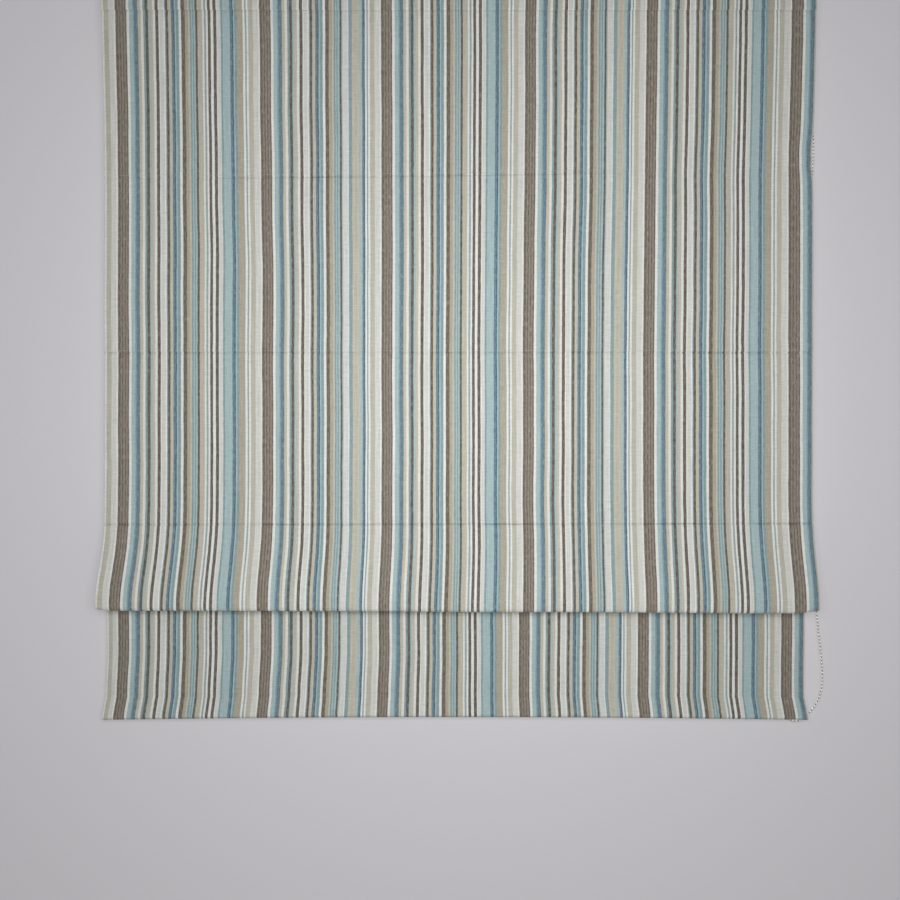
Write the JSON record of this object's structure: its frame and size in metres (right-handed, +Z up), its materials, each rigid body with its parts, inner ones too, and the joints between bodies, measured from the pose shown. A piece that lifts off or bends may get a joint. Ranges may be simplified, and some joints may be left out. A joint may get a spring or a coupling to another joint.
{
  "type": "roman blind",
  "caption": "Striped cloth roman blind on a chain driven headrail, its lower part gathered into one deep fold above a weighted hem.",
  "frame": {"origin": "middle of the wall screw pattern of the brackets, on the wall plane", "axes": "+X to the viewer's right along the headrail, +Y into the wall, +Z up"},
  "size_m": [1.2318, 0.0721, 1.2329],
  "materials": {
    "face_cloth": "woven striped cotton, matt",
    "lining_cloth": "plain woven cotton lining, matt",
    "tape_white": "woven nylon tape",
    "rail_white": "white powder coat, satin",
    "bracket_zinc": "zinc plated sheet",
    "drive_plastic": "moulded, fine matt grain",
    "spool_plastic": "moulded acetal, satin",
    "shaft_metal": "mill finish, drawn",
    "spring_steel": "bright spring strip",
    "rod_white": "pultruded glass fibre rod",
    "ring_clear": "moulded ring",
    "cord_white": "braided polyester cord",
    "bar_metal": "mill finish flat bar",
    "chain_metal": "nickel plated beads",
    "chain_clasp": "clear moulded clasp"
  },
  "bodies": {
    "headrail": {"headrail": "rail_white", "bracket_left": "bracket_zinc", "bracket_centre": "bracket_zinc", "bracket_right": "bracket_zinc", "idle_end_cap": "drive_plastic", "drive_housing": "drive_plastic", "drive_cover": "drive_plastic", "brake_spring": "spring_steel", "spool_cradles": "spool_plastic", "hook_tape": "tape_white", "loop_tape": "tape_white", "face_fabric_upper": "face_cloth", "face_fabric_return": "face_cloth", "lining_upper": "lining_cloth", "lining_return": "lining_cloth", "rod_1": "rod_white", "rod_2": "rod_white", "rod_3": "rod_white", "ring_row_1": "ring_clear", "ring_row_2": "ring_clear", "ring_row_3": "ring_clear", "lift_cord_1": "cord_white", "lift_cord_2": "cord_white", "lift_cord_3": "cord_white", "bead_chain": "chain_metal", "chain_cord": "cord_white", "chain_connector": "chain_clasp"},
    "hem_section": {"face_fabric_hem": "face_cloth", "lining_hem": "lining_cloth", "rod_4": "rod_white", "ring_row_4": "ring_clear", "cord_orbs": "ring_clear", "hem_bar": "bar_metal", "hem_bar_cap_left": "drive_plastic", "hem_bar_cap_right": "drive_plastic"},
    "drive": {"drive_shaft": "shaft_metal", "chain_wheel": "spool_plastic", "idle_bush": "spool_plastic", "cord_spools": "spool_plastic"}
  },
  "joints": [
    {"name": "lift", "type": "slide", "parent": "headrail", "child": "hem_section", "axis": [0, 0, 1], "range_m": [-0.25, 0], "deforming": ["face_fabric_return", "lining_return", "lift_cord_1", "lift_cord_2", "lift_cord_3"]},
    {"name": "shaft_turn", "type": "hinge", "parent": "headrail", "child": "drive", "pos_m": [0, -0.025, -0.0021], "axis": [1, 0, 0], "range_deg": [-1432.4, 0], "deforming": ["bead_chain", "chain_cord", "chain_connector"]}
  ],
  "couplings": [
    {"joint": "shaft_turn", "follows": "lift", "rad_per_m": 100}
  ]
}
